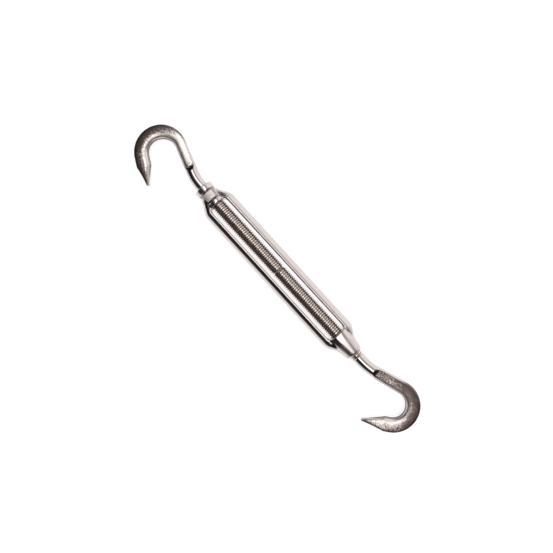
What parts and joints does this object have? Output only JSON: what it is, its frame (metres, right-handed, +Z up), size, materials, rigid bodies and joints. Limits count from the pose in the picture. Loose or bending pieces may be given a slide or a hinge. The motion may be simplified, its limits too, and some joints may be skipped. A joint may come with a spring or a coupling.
{
  "type": "rigging turnbuckle",
  "caption": "Open-body steel turnbuckle with an open hook at each end and opposite-handed screws, for tensioning rigging wire.",
  "frame": {"origin": "centre of the footprint, on the ground under the lowest point of the body, as it lies flat", "axes": "+X along the screw axis towards the right-hand hook, +Y across, away from the side that both hooks open to, +Z up, square to the flat of the hooks"},
  "size_m": [0.1722, 0.0268, 0.0092],
  "materials": {
    "polished_casting": "mirror-polished cast stainless steel",
    "rolled_thread": "bright rolled stainless thread",
    "forged_hook": "tumbled and polished forged stainless steel, with satin pressed flats"
  },
  "bodies": {
    "body": {"body": "polished_casting"},
    "left_hand_spindle": {"left_hand_spindle": "rolled_thread"},
    "left_hand_hook": {"left_hand_hook": "forged_hook"},
    "right_hand_spindle": {"right_hand_spindle": "rolled_thread"},
    "right_hand_hook": {"right_hand_hook": "forged_hook"}
  },
  "joints": [
    {"name": "left_hand_travel", "type": "slide", "parent": "body", "child": "left_hand_spindle", "axis": [-1, 0, 0], "range_m": [0, 0.037]},
    {"name": "left_hand_turn", "type": "hinge", "parent": "left_hand_spindle", "child": "left_hand_hook", "pos_m": [-0.05, 0.00439, 0.0046], "axis": [1, 0, 0], "range_deg": [0, 13320]},
    {"name": "right_hand_travel", "type": "slide", "parent": "body", "child": "right_hand_spindle", "axis": [1, 0, 0], "range_m": [0, 0.036]},
    {"name": "right_hand_turn", "type": "hinge", "parent": "right_hand_spindle", "child": "right_hand_hook", "pos_m": [0.05, 0.00439, 0.0046], "axis": [1, 0, 0], "range_deg": [0, 12960]}
  ],
  "couplings": [
    {"joint": "left_hand_travel", "follows": "left_hand_turn", "m_per_rad": 0.00015915},
    {"joint": "right_hand_travel", "follows": "right_hand_turn", "m_per_rad": 0.00015915}
  ]
}
